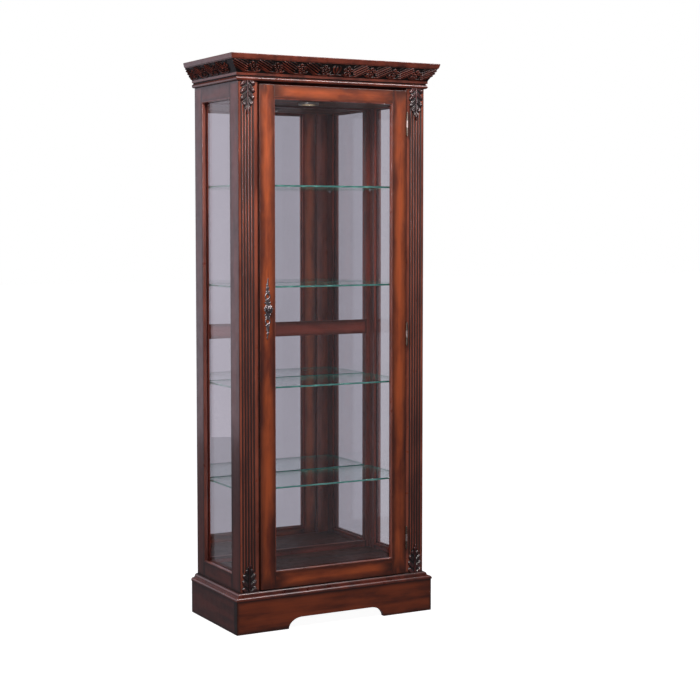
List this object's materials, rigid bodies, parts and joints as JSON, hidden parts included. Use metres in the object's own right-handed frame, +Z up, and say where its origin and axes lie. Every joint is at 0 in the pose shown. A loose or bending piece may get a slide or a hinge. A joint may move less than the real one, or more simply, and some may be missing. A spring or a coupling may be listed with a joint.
{
  "type": "curio cabinet",
  "caption": "Tall glazed display cabinet with a hinged framed glass door, glass shelves, mirror back, fluted pilasters and carved crown.",
  "frame": {"origin": "centre of the cabinet's footprint on the floor", "axes": "+Z up; the door and the carved front face -Y; +X is to the right of someone facing the door"},
  "size_m": [0.777, 0.391, 1.88],
  "materials": {
    "case_wood": "semi-gloss red-brown cherry lacquer with burnished dark edges",
    "inner_wood": "satin dark red-brown lacquer",
    "carved_wood": "semi-gloss lacquer, darkened in the recesses",
    "raw_wood": "bare softwood",
    "backing_board": "plain hardboard",
    "window_glass": "clear polished",
    "shelf_glass": "clear, green at the polished edges",
    "mirror": "silvered",
    "aged_brass": "aged, slightly dull",
    "dark_pewter": "antique cast metal, dark in the recesses",
    "bright_steel": "nickel plated",
    "lamp_metal": "satin",
    "lamp_lens": "frosted, warm",
    "catch_plastic": "matt brown",
    "glide_nylon": "matt grey"
  },
  "bodies": {
    "case": {"plinth_front": "case_wood", "plinth_left": "case_wood", "plinth_right": "case_wood", "plinth_back": "inner_wood", "plinth_blocks": "raw_wood", "floor_glides": "glide_nylon", "base_moulding": "case_wood", "floor_panel": "inner_wood", "ceiling_panel": "inner_wood", "front_top_rail": "inner_wood", "front_bottom_rail": "inner_wood", "left_pilaster": "case_wood", "right_pilaster": "case_wood", "carved_leaves": "carved_wood", "left_front_stile": "case_wood", "left_back_stile": "case_wood", "left_top_rail": "case_wood", "left_bottom_rail": "case_wood", "right_front_stile": "case_wood", "right_back_stile": "case_wood", "right_top_rail": "case_wood", "right_bottom_rail": "case_wood", "left_side_glass": "window_glass", "right_side_glass": "window_glass", "side_glass_beads": "inner_wood", "back_left_stile": "inner_wood", "back_right_stile": "inner_wood", "back_top_rail": "inner_wood", "back_mid_rail": "inner_wood", "back_bottom_rail": "inner_wood", "upper_mirror": "mirror", "lower_mirror": "mirror", "backing_boards": "backing_board", "crown_bead": "case_wood", "crown_frieze": "carved_wood", "crown_back_rail": "inner_wood", "crown_cap": "case_wood", "shelf_pins": "bright_steel", "lamp_housing": "lamp_metal", "lamp_lens": "lamp_lens", "magnetic_catch": "catch_plastic", "frame_hinge_leaves": "aged_brass", "hinge_pins": "aged_brass", "frame_hinge_screws": "aged_brass"},
    "door": {"door_left_stile": "case_wood", "door_right_stile": "case_wood", "door_top_rail": "case_wood", "door_bottom_rail": "case_wood", "door_glass": "window_glass", "door_glass_beads": "inner_wood", "door_hinge_leaves": "aged_brass", "door_hinge_screws": "aged_brass", "handle_backplate": "dark_pewter", "handle_knob": "dark_pewter", "handle_screw": "bright_steel", "catch_plate": "bright_steel"},
    "shelf_1": {"glass_shelf_1": "shelf_glass"},
    "shelf_2": {"glass_shelf_2": "shelf_glass"},
    "shelf_3": {"glass_shelf_3": "shelf_glass"},
    "shelf_4": {"glass_shelf_4": "shelf_glass"}
  },
  "joints": [
    {"name": "door_hinge", "type": "hinge", "parent": "case", "child": "door", "pos_m": [0.27663, -0.1654, 0.965], "axis": [0, 0, 1], "range_deg": [0, 110]},
    {"name": "shelf_1_lift", "type": "slide", "parent": "case", "child": "shelf_1", "axis": [0, 0, 1], "range_m": [0, 0.03]},
    {"name": "shelf_2_lift", "type": "slide", "parent": "case", "child": "shelf_2", "axis": [0, 0, 1], "range_m": [0, 0.03]},
    {"name": "shelf_3_lift", "type": "slide", "parent": "case", "child": "shelf_3", "axis": [0, 0, 1], "range_m": [0, 0.03]},
    {"name": "shelf_4_lift", "type": "slide", "parent": "case", "child": "shelf_4", "axis": [0, 0, 1], "range_m": [0, 0.03]}
  ]
}
